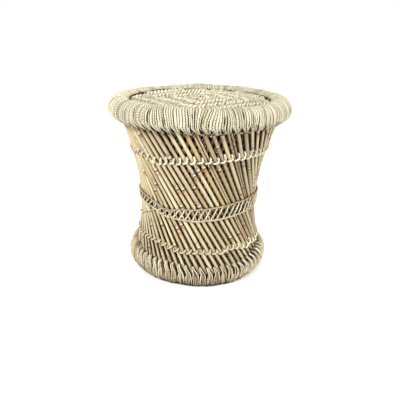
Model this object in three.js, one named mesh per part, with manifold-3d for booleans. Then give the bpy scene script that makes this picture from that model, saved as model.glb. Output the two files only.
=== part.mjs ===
// A round mudda stool: two crossed layers of straight reeds stand between a thick rope-wound
// rim and a rope-wound base ring. Rope lashings bind the reeds at three heights, and a seat
// of rope fills the rim.
// Millimetres, +Z up. The origin is on the floor, at the centre of the base.
import * as THREE from "three";
import { mergeVertices } from "three/addons/utils/BufferGeometryUtils.js";
import Module from "manifold-3d";

const wasm = await Module();
wasm.setup();

const fullTurn = 2 * Math.PI;
const degree = fullTurn / 360;

// Whole stool
const stoolHeight = 400;
const fitGap = 0.3; // clearance between pieces that touch
const ringSegments = 52; // facets round every ring

// Reeds: each layer lies on a waisted surface, narrowest at the waist height
const reedCount = 63; // in each layer
const reedDiameter = 8.8;
const reedSides = 8;
const innerReedSides = 6;
const reedLean = 29.75 * degree;
const waistRadius = 130.8; // from the stool's axis to the middle of an outer reed
const waistHeight = 160;
const firstReedTurn = 2.8 * degree; // first outer reed, at the waist, right of the front
const jointSwell = 0.3; // how far a culm joint stands proud
const jointLength = 7;
const jointHeightShares = [0.24, 0.58, 0.41, 0.77, 0.33, 0.66, 0.49];
const reedThicknessShares = [1, 0.92, 0.97, 0.88, 0.94];
const carriedEvery = 6; // every sixth outer reed is one piece with the base bundle

// Rim ring, an ellipse in section
const rimOutset = 1.8; // middle of the section outside the middle of the reeds
const rimWidth = 46;
const rimThickness = 47.2;
const rimShelfDrop = 8.4; // reed heads stop this far below the middle of the section

// Base ring, an ellipse taller than it is wide
const baseInset = 3.2; // middle of the section inside the middle of the reeds
const baseWidth = 41.2;
const baseHeight = 62;
const baseShelfDrop = 3; // reed feet stop this far below the middle of the section
const soleDepth = 1; // how much of the section is worn flat where it stands
const graftDepth = 3; // how deep a carried reed runs into the base bundle

// Rope wound round both rings
const ropeLayer = 3.4;
const turnRelief = 1.1; // depth of the valleys between neighbouring groups of turns
const turnSteps = 4; // facets of the wound surface, from each lip to the facet between them
const bundleSteps = 2; // the same for the bundle and the winding's inner side
const rimCrestHalf = 14 * degree; // half of the facet along the rim's crest
const mouthSteps = 2; // facets of the bundle across a winding's mouth
const rimRingsPerSegment = 3;
const baseRingsPerSegment = 2;

// Lashings, one stitch over each outer reed
const lashingCord = 3;
const upperLashingDrop = 63.5; // below the rim
const lowerLashingRise = 22; // above the base ring
const stitchRise = 4.5; // a stitch climbs this far each side of its middle
const stitchShoulderShare = 0.5; // half width of a stitch, in reed diameters
const stitchDip = 1; // how far behind the reeds' middle a stitch passes between them

// Waist band: two cords with slanted lacing between them
const bandCord = 3.2;
const bandHeight = 23; // from one cord to the other
const bandRise = 10.5; // middle of the band above the waist
const lacingWidthShare = 0.25; // of the distance between reeds
const lacingRunShare = 1.4; // sideways run of a slanted strand, in distances between reeds

// Seat
const seatRecess = 6; // edge of the seat below the rim's crest
const seatThickness = 9;
const seatCrown = 2; // middle of the seat above its edge
const seatFlatRadius = 40;

// Values worked out from the sizes above
const reedRadius = reedDiameter / 2;
const pitchAngle = fullTurn / reedCount;
const rimMiddle = stoolHeight - (rimThickness / 2) * Math.cos(rimCrestHalf);
const rimShelf = rimMiddle - rimShelfDrop;
const reedHead = rimShelf - fitGap;
const baseHalf = (baseHeight + soleDepth) / 2;
const baseMiddle = baseHeight - baseHalf;
const baseShelf = baseMiddle - baseShelfDrop;
const reedFoot = baseShelf + fitGap;
const upperLashingHeight = rimMiddle - rimThickness / 2 - upperLashingDrop;
const lowerLashingHeight = baseHeight + lowerLashingRise;
const bandBottomHeight = waistHeight + bandRise - bandHeight / 2;
const bandTopHeight = bandBottomHeight + bandHeight;

// The two layers. A reed passes waistRadius from the axis at the waist and leans sideways;
// drift is its sideways travel for each millimetre of height, and side the way it leans.
const outerLayer = { waist: waistRadius, drift: Math.tan(reedLean), side: -1 };
const innerLayer = layerInside(outerLayer);

function centreRadius(layer, z) {
  return Math.hypot(layer.waist, layer.drift * (z - waistHeight));
}

// The inner layer keeps clear of the outer one at the waist and, where the wall slopes, at
// the heads, and it leans the other way.
function layerInside(outer) {
  const spacing = reedDiameter + jointSwell + fitGap;
  const waist = outer.waist - spacing;
  const head = centreRadius(outer, reedHead);
  const slope = (outer.drift ** 2 * (reedHead - waistHeight)) / head;
  const innerHead = head - spacing * Math.hypot(1, slope);
  const drift = Math.sqrt(innerHead ** 2 - waist ** 2) / (reedHead - waistHeight);
  return { waist, drift, side: 1, turn: pitchAngle / 2 };
}

// The two rings, centred on the wall that the layers make
const wallRadius = (z) => (centreRadius(outerLayer, z) + centreRadius(innerLayer, z)) / 2;
const rim = {
  radius: wallRadius(rimMiddle) + rimOutset,
  halfWidth: rimWidth / 2,
  halfHeight: rimThickness / 2,
  middle: rimMiddle,
  sense: 1, // the reeds enter from below
  shelf: rimShelf,
  farHalf: rimCrestHalf,
};
const base = {
  radius: wallRadius(baseMiddle) - baseInset,
  halfWidth: baseWidth / 2,
  halfHeight: baseHalf,
  middle: baseMiddle,
  sense: -1, // the reeds enter from above
  shelf: baseShelf,
  farHalf: Math.acos(baseMiddle / baseHalf),
};

// Half of a reed's width measured along the radius at height z: its level section is an
// ellipse, stretched along the lean.
function radialHalf(layer, z) {
  const stretch = Math.hypot(1, layer.drift);
  const radialPart = (layer.drift * (z - waistHeight)) / centreRadius(layer, z);
  return reedRadius * Math.sqrt(1 - radialPart ** 2 + (stretch * radialPart) ** 2);
}

// How far from the axis the outer reeds reach
function reedReach(z) {
  return centreRadius(outerLayer, z) + radialHalf(outerLayer, z) + jointSwell;
}

// Rings outside the reeds keep the gap at the middle of their facets too.
const facetSag = (radius) => radius * (1 - Math.cos(Math.PI / ringSegments));

function outsideReeds(z) {
  const reach = reedReach(z);
  return reach + facetSag(reach) + fitGap;
}

function insideReeds(z) {
  return centreRadius(innerLayer, z) - radialHalf(innerLayer, z) - fitGap;
}

// Points round the stool: turn 0 is the front, and turns run to the right seen from there.
function at(radius, turn, z) {
  return new THREE.Vector3(radius * Math.sin(turn), -radius * Math.cos(turn), z);
}

// Joining and cutting
function solidOf(geometry) {
  const bare = geometry.clone();
  bare.deleteAttribute("normal");
  bare.deleteAttribute("uv");
  const merged = mergeVertices(bare);
  const mesh = new wasm.Mesh({
    numProp: 3,
    vertProperties: merged.attributes.position.array,
    triVerts: new Uint32Array(merged.index.array),
  });
  return new wasm.Manifold(mesh);
}

function geometryOf(solid) {
  const mesh = solid.getMesh();
  const geometry = new THREE.BufferGeometry();
  const positions = new THREE.BufferAttribute(mesh.vertProperties, 3);
  geometry.setAttribute("position", positions);
  geometry.setIndex(new THREE.BufferAttribute(mesh.triVerts, 1));
  return geometry;
}

// A surface under construction: rows of points, joined by quads, strips and caps
class Surface {
  positions = [];
  faces = [];

  row(points) {
    const first = this.positions.length / 3;
    points.forEach((p) => this.positions.push(p.x, p.y, p.z));
    return points.map((_, i) => first + i);
  }

  quad(a, b, c, d) {
    this.faces.push(a, b, c, a, c, d);
  }

  // Joins row to row. A closed row also joins its last point to its first.
  skin(lower, upper, closed) {
    const sides = closed ? lower.length : lower.length - 1;
    for (let i = 0; i < sides; i++) {
      const j = (i + 1) % lower.length;
      this.quad(lower[i], lower[j], upper[j], upper[i]);
    }
  }

  fan(row, upwards) {
    for (let i = 1; i + 1 < row.length; i++) {
      if (upwards) this.faces.push(row[0], row[i], row[i + 1]);
      else this.faces.push(row[0], row[i + 1], row[i]);
    }
  }

  // Joins a fine closed loop to a coarse one that has one point for every `ratio` of its own.
  edge(fine, coarse, ratio, flip) {
    const half = Math.floor(ratio / 2);
    const add = (a, b, c) => this.faces.push(...(flip ? [a, c, b] : [a, b, c]));
    coarse.forEach((near, i) => {
      const next = coarse[(i + 1) % coarse.length];
      const start = ratio * i;
      for (let j = 0; j < ratio; j++) {
        const a = fine[start + j];
        const b = fine[(start + j + 1) % fine.length];
        add(a, b, j < half ? near : next);
      }
      add(fine[start + half], next, near);
    });
  }

  geometry() {
    const geometry = new THREE.BufferGeometry();
    geometry.setAttribute("position", new THREE.Float32BufferAttribute(this.positions, 3));
    geometry.setIndex(this.faces);
    return geometry;
  }
}

// One reed at turn 0, cut level at both ends. Its joint is a short swelling square to it.
function reedGeometry(layer, foot, diameter, sides, jointHeight) {
  const stretch = Math.hypot(1, layer.drift);
  const sideways = layer.side * layer.drift;
  const middle = (z) => new THREE.Vector3(sideways * (z - waistHeight), -layer.waist, z);
  const levelAcross = new THREE.Vector3(stretch, 0, 0);
  const squareAcross = new THREE.Vector3(1, 0, -sideways).divideScalar(stretch);
  const ringAt = (z, radius, across) =>
    Array.from({ length: sides }, (_, i) => {
      const angle = (fullTurn * i) / sides;
      const point = middle(z).addScaledVector(across, radius * Math.cos(angle));
      point.y += radius * Math.sin(angle);
      return point;
    });
  const surface = new Surface();
  const radius = diameter / 2;
  const rows = [surface.row(ringAt(foot, radius, levelAcross))];
  if (jointHeight) {
    const below = jointHeight - jointLength / 2;
    const above = jointHeight + jointLength / 2;
    rows.push(surface.row(ringAt(below, radius + jointSwell, squareAcross)));
    rows.push(surface.row(ringAt(above, radius, squareAcross)));
  }
  rows.push(surface.row(ringAt(reedHead, radius, levelAcross)));
  surface.fan(rows[0], false);
  rows.slice(1).forEach((row, i) => surface.skin(rows[i], row, true));
  surface.fan(rows[rows.length - 1], true);
  return surface.geometry();
}

// Where an outer reed stands round the stool, at the waist
const outerReedTurn = (index) => firstReedTurn + index * pitchAngle;

function outerReedGeometry(index, foot) {
  const thickness = reedThicknessShares[index % reedThicknessShares.length];
  const share = jointHeightShares[index % jointHeightShares.length];
  const jointHeight = reedFoot + share * (reedHead - reedFoot);
  return reedGeometry(outerLayer, foot, thickness * reedDiameter, reedSides, jointHeight);
}

// A point of a ring's section, an inset below the ring's outer surface. The angle is 0 on
// the outside, and grows over the side away from the reeds to the inside of the ring.
function sectionPoint(of, inset, angle) {
  const radius = of.radius + (of.halfWidth - inset) * Math.cos(angle);
  const z = of.middle + of.sense * (of.halfHeight - inset) * Math.sin(angle);
  return { radius, z };
}

// The angle between two others at which the section meets the reeds, found by halving
const halvings = 40;

const amongReeds = -120 * degree; // a section angle inside the mouth of either winding

function lipAngle(of, inset, reeds, clear, crossing) {
  let [inClear, inReeds] = [clear, crossing];
  for (let i = 0; i < halvings; i++) {
    const angle = (inClear + inReeds) / 2;
    const { radius, z } = sectionPoint(of, inset, angle);
    const isClear = reeds === outsideReeds ? radius > reeds(z) : radius < reeds(z);
    if (isClear) inClear = angle;
    else inReeds = angle;
  }
  return inClear;
}

// From the outer lip to the inner one, with one facet square across the far end
function sectionAngles(of, inset, steps) {
  const outer = lipAngle(of, inset, outsideReeds, 0, amongReeds);
  const inner = lipAngle(of, inset, insideReeds, fullTurn / 2, fullTurn + amongReeds);
  const far = fullTurn / 4;
  const shares = Array.from({ length: steps + 1 }, (_, i) => i / steps);
  const outerSide = shares.map((share) => outer + share * (far - of.farHalf - outer));
  const innerSide = shares.map((share) => inner + share * (far + of.farHalf - inner));
  return [...outerSide, ...innerSide.reverse()];
}

// The layer of rope round a ring, open towards the reeds: the outer side is ribbed by the
// groups of turns, and the sole of the base ring is worn flat.
function windingGeometry(of, ringsPerSegment) {
  const surface = new Surface();
  const rowsOf = (count, steps, insetOf, worn) =>
    Array.from({ length: count }, (_, i) => {
      const inset = insetOf(i);
      const points = sectionAngles(of, inset, steps).map((angle, j) => {
        const { radius, z } = sectionPoint(of, inset, angle);
        const isSole = worn && (j === steps || j === steps + 1);
        return at(radius, (fullTurn * i) / count, isSole ? 0 : z);
      });
      return surface.row(of.sense < 0 ? points : points.reverse());
    });
  const worn = of.sense < 0;
  const relief = (i) => (i % 2 ? turnRelief : 0);
  const outer = rowsOf(ringSegments * ringsPerSegment, turnSteps, relief, worn);
  const inner = rowsOf(ringSegments, bundleSteps, () => ropeLayer, false);
  outer.forEach((row, i) => surface.skin(row, outer[(i + 1) % outer.length], false));
  inner.forEach((row, i) => surface.skin(inner[(i + 1) % inner.length], row, false));
  const loop = (rows, end) => rows.map((row) => row.at(end));
  surface.edge(loop(outer, 0), loop(inner, 0), ringsPerSegment, false);
  surface.edge(loop(outer, -1), loop(inner, -1), ringsPerSegment, true);
  return surface.geometry();
}

// Revolves a closed outline of { radius, z } points, given anticlockwise in section
function revolved(outline) {
  const points = outline.map(({ radius, z }) => new THREE.Vector2(radius, z));
  points.push(points[0].clone());
  return new THREE.LatheGeometry(points, ringSegments).rotateX(Math.PI / 2);
}

// The grass bundle inside a winding: a full ring with the channel of the reeds cut from it,
// which leaves a level shelf at the reeds' ends.
function bundleSolid(of) {
  const inset = ropeLayer + fitGap;
  const angles = sectionAngles(of, ropeLayer, bundleSteps);
  const last = angles[angles.length - 1];
  const mouth = (fullTurn + angles[0] - last) / mouthSteps;
  for (let i = 1; i < mouthSteps; i++) angles.push(last + i * mouth);
  const outline = angles.map((angle) => sectionPoint(of, inset, angle));
  const full = solidOf(revolved(of.sense > 0 ? outline : outline.reverse()));
  const end = of.middle - of.sense * (of.halfHeight + ropeLayer);
  const inside = of.radius - of.halfWidth - ropeLayer;
  const channel = [
    { radius: inside, z: end },
    { radius: outsideReeds(end), z: end },
    { radius: outsideReeds(of.shelf), z: of.shelf },
    { radius: inside, z: of.shelf },
  ];
  const cutter = solidOf(revolved(of.sense > 0 ? channel : channel.reverse()));
  return full.subtract(cutter);
}

// The base bundle carries the whole inner layer and every sixth outer reed.
function baseBundleGeometry() {
  const foot = base.shelf - graftDepth;
  const inner = reedGeometry(innerLayer, foot, reedDiameter, innerReedSides);
  const parts = [bundleSolid(base)];
  for (let i = 0; i < reedCount; i++) {
    parts.push(solidOf(inner.clone().rotateZ(outerReedTurn(i) + innerLayer.turn)));
    if (i % carriedEvery === 0) {
      parts.push(solidOf(outerReedGeometry(i, foot).rotateZ(outerReedTurn(i))));
    }
  }
  return geometryOf(wasm.Manifold.union(parts));
}

// A closed loop of cord along points that run round the stool, four-sided
function cordLoop(points, diameter) {
  const surface = new Surface();
  const up = new THREE.Vector3(0, 0, 1);
  const rows = points.map((point, i) => {
    const before = points[(i + points.length - 1) % points.length];
    const after = points[(i + 1) % points.length];
    const along = after.clone().sub(before).normalize();
    const out = along.clone().cross(up).normalize();
    const rise = out.clone().cross(along);
    const corner = ([a, b]) =>
      point.clone().addScaledVector(out, a).addScaledVector(rise, b);
    const reach = diameter / 2;
    return surface.row([[reach, 0], [0, -reach], [-reach, 0], [0, reach]].map(corner));
  });
  rows.forEach((row, i) => surface.skin(row, rows[(i + 1) % rows.length], true));
  return surface.geometry();
}

// A row of stitches: the cord climbs over each outer reed square to it, and dips between
// that reed and the next.
function lashingGeometry(height) {
  const wall = centreRadius(outerLayer, height);
  const over = (z) => reedReach(z) + fitGap + lashingCord / 2;
  const shoulder = (stitchShoulderShare * reedDiameter) / wall;
  const [low, high] = [height - stitchRise, height + stitchRise];
  const points = [];
  for (let i = 0; i < reedCount; i++) {
    const turn = outerReedTurn(i) + reedDrift(height);
    points.push(at(over(low), turn - shoulder, low));
    points.push(at(over(high), turn + shoulder, high));
    points.push(at(wall - stitchDip, turn + pitchAngle / 2, height));
  }
  return cordLoop(points, lashingCord);
}

// How far round the stool an outer reed has moved at a height, from its place at the waist
function reedDrift(height) {
  const sideways = outerLayer.side * outerLayer.drift * (height - waistHeight);
  return Math.atan2(sideways, outerLayer.waist);
}

// Two square cords, joined by slanted strands that grow from their facing sides. Each strand
// has its middle over an outer reed's place at the waist.
function waistBandGeometry() {
  const surface = new Surface();
  const width = lacingWidthShare * pitchAngle;
  const run = lacingRunShare * pitchAngle;
  const half = bandCord / 2;
  const nearest = reedReach(bandTopHeight + half) + fitGap;
  const slack = nearest * (1 - Math.cos((run + width) / 2));
  const radius = nearest + slack + half;
  const cordRows = (height, offset) => {
    const rows = [];
    for (let i = 0; i < reedCount; i++) {
      const start = outerReedTurn(i) + offset - width / 2;
      for (const turn of [start, start + width]) {
        rows.push(
          surface.row([
            at(radius + half, turn, height - half),
            at(radius + half, turn, height + half),
            at(radius - half, turn, height + half),
            at(radius - half, turn, height - half),
          ]),
        );
      }
    }
    return rows;
  };
  const bottom = cordRows(bandBottomHeight, -run / 2);
  const top = cordRows(bandTopHeight, run / 2);
  const joinCord = (rows, strandSide) =>
    rows.forEach((row, i) => {
      const next = rows[(i + 1) % rows.length];
      for (let side = 0; side < row.length; side++) {
        if (side === strandSide && i % 2 === 0) continue;
        const other = (side + 1) % row.length;
        surface.quad(row[side], next[side], next[other], row[other]);
      }
    });
  joinCord(bottom, 1);
  joinCord(top, 3);
  for (let i = 0; i < bottom.length; i += 2) {
    const [lowA, lowB, highA, highB] = [bottom[i], bottom[i + 1], top[i], top[i + 1]];
    const lower = [lowA[1], lowA[2], lowB[2], lowB[1]];
    const upper = [highA[0], highA[3], highB[3], highB[0]];
    surface.skin(upper, lower, true);
  }
  return surface.geometry();
}

// The seat's edge leans as the rim does at the seat's middle height, and stays clear of it.
function seatEdgeRadius(z) {
  const middle = stoolHeight - seatRecess - seatThickness / 2;
  const angle = Math.PI - Math.asin((middle - rim.middle) / rim.halfHeight);
  const slope = -(rim.halfWidth * Math.sin(angle)) / (rim.halfHeight * Math.cos(angle));
  const touch = rim.radius + rim.halfWidth * Math.cos(angle);
  return touch + slope * (z - middle) - fitGap * Math.hypot(1, slope);
}

function seatGeometry() {
  const edge = stoolHeight - seatRecess;
  const under = edge - seatThickness;
  const crown = edge + seatCrown;
  const profile = [
    new THREE.Vector2(0, under),
    new THREE.Vector2(seatEdgeRadius(under), under),
    new THREE.Vector2(seatEdgeRadius(edge), edge),
    new THREE.Vector2(seatFlatRadius, crown),
    new THREE.Vector2(0, crown),
  ];
  return new THREE.LatheGeometry(profile, ringSegments).rotateX(Math.PI / 2);
}

// Finishes
const finish = (color, roughness) =>
  new THREE.MeshStandardMaterial({ color, roughness, metalness: 0 });
const reedFinish = finish(0xcbb27c, 0.5);
const grassFinish = finish(0xa8925f, 0.9);
const ropeFinish = finish(0xbfb58c, 0.9);
const lashingFinish = finish(0xd9cfa6, 0.85);

const stool = new THREE.Group();

function add(parent, name, geometry, material) {
  const mesh = new THREE.Mesh(geometry, material);
  mesh.name = name;
  parent.add(mesh);
  return mesh;
}

for (let i = 0; i < reedCount; i++) {
  if (i % carriedEvery === 0) continue;
  const name = "outer_reed_" + String(i + 1).padStart(2, "0");
  const reed = add(stool, name, outerReedGeometry(i, reedFoot), reedFinish);
  reed.rotation.z = outerReedTurn(i);
}
add(stool, "base_bundle", baseBundleGeometry(), grassFinish);
add(stool, "base_winding", windingGeometry(base, baseRingsPerSegment), ropeFinish);
add(stool, "rim_bundle", geometryOf(bundleSolid(rim)), grassFinish);
add(stool, "rim_winding", windingGeometry(rim, rimRingsPerSegment), ropeFinish);
add(stool, "upper_lashing", lashingGeometry(upperLashingHeight), lashingFinish);
add(stool, "lower_lashing", lashingGeometry(lowerLashingHeight), lashingFinish);
add(stool, "waist_band", waistBandGeometry(), lashingFinish);
add(stool, "seat_weave", seatGeometry(), ropeFinish);

export default stool;
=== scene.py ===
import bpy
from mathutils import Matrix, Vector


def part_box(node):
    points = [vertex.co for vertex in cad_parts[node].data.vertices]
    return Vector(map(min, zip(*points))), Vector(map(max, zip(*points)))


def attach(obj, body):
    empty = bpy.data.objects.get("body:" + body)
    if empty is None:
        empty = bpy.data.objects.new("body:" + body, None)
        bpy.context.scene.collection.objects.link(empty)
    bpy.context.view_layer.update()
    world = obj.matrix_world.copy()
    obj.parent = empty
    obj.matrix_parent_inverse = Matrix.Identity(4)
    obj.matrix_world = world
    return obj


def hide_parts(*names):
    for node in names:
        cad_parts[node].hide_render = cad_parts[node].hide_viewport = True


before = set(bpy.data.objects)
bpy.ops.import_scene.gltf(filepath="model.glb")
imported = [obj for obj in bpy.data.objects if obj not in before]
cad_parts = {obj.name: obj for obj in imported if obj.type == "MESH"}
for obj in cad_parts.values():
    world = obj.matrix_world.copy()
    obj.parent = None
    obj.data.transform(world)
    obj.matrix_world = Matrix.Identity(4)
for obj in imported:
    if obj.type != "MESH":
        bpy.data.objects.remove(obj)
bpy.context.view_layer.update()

from types import SimpleNamespace

import bpy
import numpy as np
from mathutils import Matrix, Vector

# Lengths are millimetres, and each mesh is turned into metres as it is made. Turns are
# angles round the stool: 0 is the front, and they grow to the right seen from there.
MM = 0.001
FULL = 2 * np.pi
DEG = FULL / 360

# Reeds: two layers on waisted surfaces, which lean opposite ways
REEDS = 63
PITCH = FULL / REEDS
WAIST_HEIGHT = 160.0
OUTER_WAIST = 130.8
INNER_WAIST = 120.8
OUTER_DRIFT = -np.tan(29.75 * DEG)
INNER_DRIFT = 0.549
REED_DIAMETER = 8.8
FIRST_REED = 2.8 * DEG

# The two rings. The section: middle radius and height, half width and half height, and the
# side where the reeds enter, -1 below or 1 above. The notches over the reeds open between two
# heights and have a depth; the turns gather between the reeds to a share of their width, and
# lean with them as far as the slant height. A turn bulges by the relief and wanders by the
# wobble; line is the power of the painted shade between two turns, parted how far chance
# parts them. Tables by turn in degrees: the share of the half width that the foot lacks
# (tuck), millimetres off the level (stray) or up for the notches (raised), painted shade added
# to the tone, as painted light where it is below 0, and how open the notches are, 0 to 1
# (opened).
NOUGHT = ((0, 0), (180, 0))
RIM = SimpleNamespace(
    radius=177, middle=377.1, half_width=22.6, half_height=23.2, mouth=-1,
    notch_from=370, notch_full=357, notch_depth=7, gathered=0.6,
    slant=370, relief=1.9, wobble=0.011, line=0.85, parted=0.9,
    tuck=NOUGHT, painted_shading=NOUGHT, raised=NOUGHT, opened=((0, 1), (180, 1)),
    stray=((-150, -6), (-95, -2), (-30, 0), (70, 0), (120, -3), (160, -4), (182, -1.5)),
)
BASE = SimpleNamespace(
    radius=142.3, middle=30.5, half_width=20.4, half_height=31.3, mouth=1,
    notch_from=24, notch_full=41, notch_depth=14, gathered=0.36,
    slant=39, relief=2.4, wobble=0.008, line=0.5, parted=1,
    tuck=((-180, 0.5), (-45, 0.9), (-25, 0.4), (10, 0.4), (32, 1.3), (70, 1.3), (180, 0.5)),
    stray=NOUGHT,
    # Painted shade on the base's front and painted light on its right side
    painted_shading=((-180, 0), (-75, 0), (-30, 0.2), (15, 0.2), (35, -0.7), (90, -0.7), (180, 0)),
    raised=((-180, 6), (-90, 14), (-50, 8), (-25, 0), (8, 0), (35, 12), (60, 18), (180, 6)),
    opened=((-180, 0.2), (-90, 0.2), (-50, 0.7), (-28, 1), (15, 1), (50, 0.6), (180, 0.2)),
)

# Rope and cord: diameters, and lays, the length of one twist
ROPE_LAY = 7.0
LASHING_CORD = 3.7
BAND_CORD = 3.3
LACING_CORD = 3.4
SEAT_ROPE = 4.6
PROUD_ROPE = 7.0
SEAT_LAY = 20.0
BAND_LAY = 10.0
LACING_LAY = 12.0
# From the middles of the reeds to the underside of a cord over them
REED_FACE = REED_DIAMETER / 2 + 0.3

# Camera, fitted to the outline in the photograph; its lens and sensor are in millimetres too
CAMERA_PLACE = (0.0, -1033.9, 561.0)
CAMERA_PITCH = 21.73 * DEG
CAMERA_ROLL = 1.17 * DEG
CAMERA_LENS = 41.6
CAMERA_SENSOR = 36.0
CAMERA_SHIFT = 0.0046


def node_ends(node):
    """The lowest and the highest level of a CAD node, in millimetres."""
    return [corner[2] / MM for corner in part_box(node)]


REED_FOOT, REED_HEAD = node_ends("outer_reed_02")
UPPER_LASHING = sum(node_ends("upper_lashing")) / 2
LOWER_LASHING = sum(node_ends("lower_lashing")) / 2
BAND_BOTTOM = node_ends("waist_band")[0] + BAND_CORD / 2
BAND_TOP = node_ends("waist_band")[1] - BAND_CORD / 2
SEAT_TOP = node_ends("seat_weave")[1]


def put_object(name, data):
    made = bpy.data.objects.new(name, data)
    bpy.context.scene.collection.objects.link(made)
    return made


def make_camera():
    forward = Vector((0, np.cos(CAMERA_PITCH), -np.sin(CAMERA_PITCH)))
    level_up = Vector((0, np.sin(CAMERA_PITCH), np.cos(CAMERA_PITCH)))
    across = Vector((1, 0, 0))
    right = across * np.cos(CAMERA_ROLL) + level_up * np.sin(CAMERA_ROLL)
    up = level_up * np.cos(CAMERA_ROLL) - across * np.sin(CAMERA_ROLL)
    data = bpy.data.cameras.new("photograph_view")
    data.lens = CAMERA_LENS
    data.sensor_width = CAMERA_SENSOR
    data.shift_x = CAMERA_SHIFT
    camera = put_object("photograph_view", data)
    camera.matrix_world = Matrix((right, up, -forward)).transposed().to_4x4()
    camera.location = Vector(CAMERA_PLACE) * MM
    bpy.context.scene.camera = camera


make_camera()


# Meshes from arrays
def put_mesh(name, points, faces, caps, marks):
    """A mesh of quads and caps from whole arrays, turned round where its volume, a sum of
    corner products, is negative."""
    a, b, c, d = (points[faces[:, k]] for k in range(4))
    volume = np.sum(np.cross(a, b) * c) + np.sum(np.cross(a, c) * d)
    if volume < 0:
        faces, caps = faces[:, ::-1], caps[:, ::-1]
    totals = np.concatenate([np.full(len(faces), 4), np.full(len(caps), caps.shape[1])])
    starts = np.concatenate([[0], np.cumsum(totals)[:-1]])
    corners = np.concatenate([faces.ravel(), caps.ravel()])
    mesh = bpy.data.meshes.new(name)
    mesh.vertices.add(len(points))
    mesh.vertices.foreach_set("co", (points * MM).astype(np.float32).ravel())
    mesh.loops.add(len(corners))
    mesh.loops.foreach_set("vertex_index", corners.astype(np.int32))
    mesh.polygons.add(len(totals))
    mesh.polygons.foreach_set("loop_start", starts.astype(np.int32))
    mesh.polygons.foreach_set("loop_total", totals.astype(np.int32))
    mesh.polygons.foreach_set("use_smooth", totals == 4)
    for mark, values in marks.items():
        kind, field = ("FLOAT_VECTOR", "vector") if values.ndim == 2 else ("FLOAT", "value")
        layer = mesh.attributes.new(mark, kind, "POINT")
        layer.data.foreach_set(field, values.astype(np.float32).ravel())
    mesh.update(calc_edges=True)
    mesh.validate()
    return put_object(name, mesh)


def strips(name, points, marks, closed=False):
    """Tubes in one mesh, capped or closed on themselves. points has the shape tube, row along
    it, side round it, 3. So has a mark, without the 3 if it is a number, or 1 on an axis."""
    tubes, rows, sides = points.shape[:3]
    number = np.arange(tubes * rows * sides).reshape(tubes, rows, sides)
    after = np.roll(number, -1, axis=1) if closed else number[:, 1:]
    here = number if closed else number[:, :-1]
    quads = [here, np.roll(here, -1, axis=2), np.roll(after, -1, axis=2), after]
    faces = np.stack(quads, axis=-1).reshape(-1, 4)
    ends = np.concatenate([number[:, 0, ::-1], number[:, -1]])
    caps = ends[:0] if closed else ends
    flat = {}
    for mark, values in marks.items():
        whole = np.broadcast_to(values, points.shape[:values.ndim])
        flat[mark] = whole.reshape(-1, 3) if values.ndim == 4 else whole.reshape(-1)
    return put_mesh(name, points.reshape(-1, 3), faces, caps, flat)


def unit(vectors):
    return vectors / np.linalg.norm(vectors, axis=-1, keepdims=True)


def circle(steps):
    return np.linspace(0, FULL, steps, endpoint=False)


def stacked(*parts):
    """One array whose last axis runs over parts, which may have different shapes."""
    return np.stack(np.broadcast_arrays(*parts), -1)


def round_axis(radius, turn, height):
    """Points at a radius, a turn round the stool and a height."""
    return stacked(radius * np.sin(turn), -radius * np.cos(turn), height)


def ripple(rng, angle, waves, height):
    """Smooth noise round a full turn: cosines of whole wave counts at random phases, whose
    sum has the height as its spread."""
    phases = rng.uniform(0, FULL, len(waves))
    total = sum(np.cos(k * angle + p) for k, p in zip(waves, phases))
    return height * total * np.sqrt(2 / len(waves))


def cords(name, kind, node, paths, radius, rng, closed=False, sides=9, plies=3, lay=ROPE_LAY,
          depth=0.16, tone=None):
    """Twisted cords along paths of the shape cord, step, 3. Round each point the radius is
    r(a) = r (1 + depth cos(plies (a - twist))), and the twist grows by a turn in each lay.
    The tone is one number for each cord or each of its steps, drawn where none is given."""
    if closed:
        after = np.roll(paths, -1, axis=1)
        along = after - np.roll(paths, 1, axis=1)
        steps = np.linalg.norm(after - paths, axis=-1)
    else:
        along = np.gradient(paths, axis=1)
        steps = np.linalg.norm(np.diff(paths, axis=1, append=paths[:, -1:]), axis=-1)
    along = unit(along)
    length = np.cumsum(steps, axis=1) - steps
    turns = length / lay
    if closed:
        whole = np.sum(steps, axis=1, keepdims=True)
        turns = length / whole * np.round(whole / lay)
    side = unit(np.cross(along, (0.0, 0.0, 1.0)) + 1e-4)
    rise = np.cross(side, along)
    angle = circle(sides)
    start = rng.uniform(0, FULL, (len(paths), 1, 1))
    turned = angle - FULL * turns[..., None] - start
    size = np.broadcast_to(np.asarray(radius, float), paths.shape[:2])[..., None]
    reach = size * (1 + depth * np.cos(plies * turned))
    ring = np.cos(angle)[:, None] * side[:, :, None] + np.sin(angle)[:, None] * rise[:, :, None]
    points = paths[:, :, None] + reach[..., None] * ring
    offset = rng.uniform(0, 500, (len(paths), 1, 1))
    spun = stacked(size * np.cos(turned), size * np.sin(turned), length[..., None] + offset)
    tone = rng.uniform(0, 1, len(paths)) if tone is None else tone
    tone = tone if tone.ndim == 2 else tone[:, None]
    groove = (1 - np.cos(plies * turned)) / 2
    marks = {"fibre": spun, "tone": tone[..., None], "groove": groove}
    dress(strips(name, points, marks, closed), *kind, node)


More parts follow.
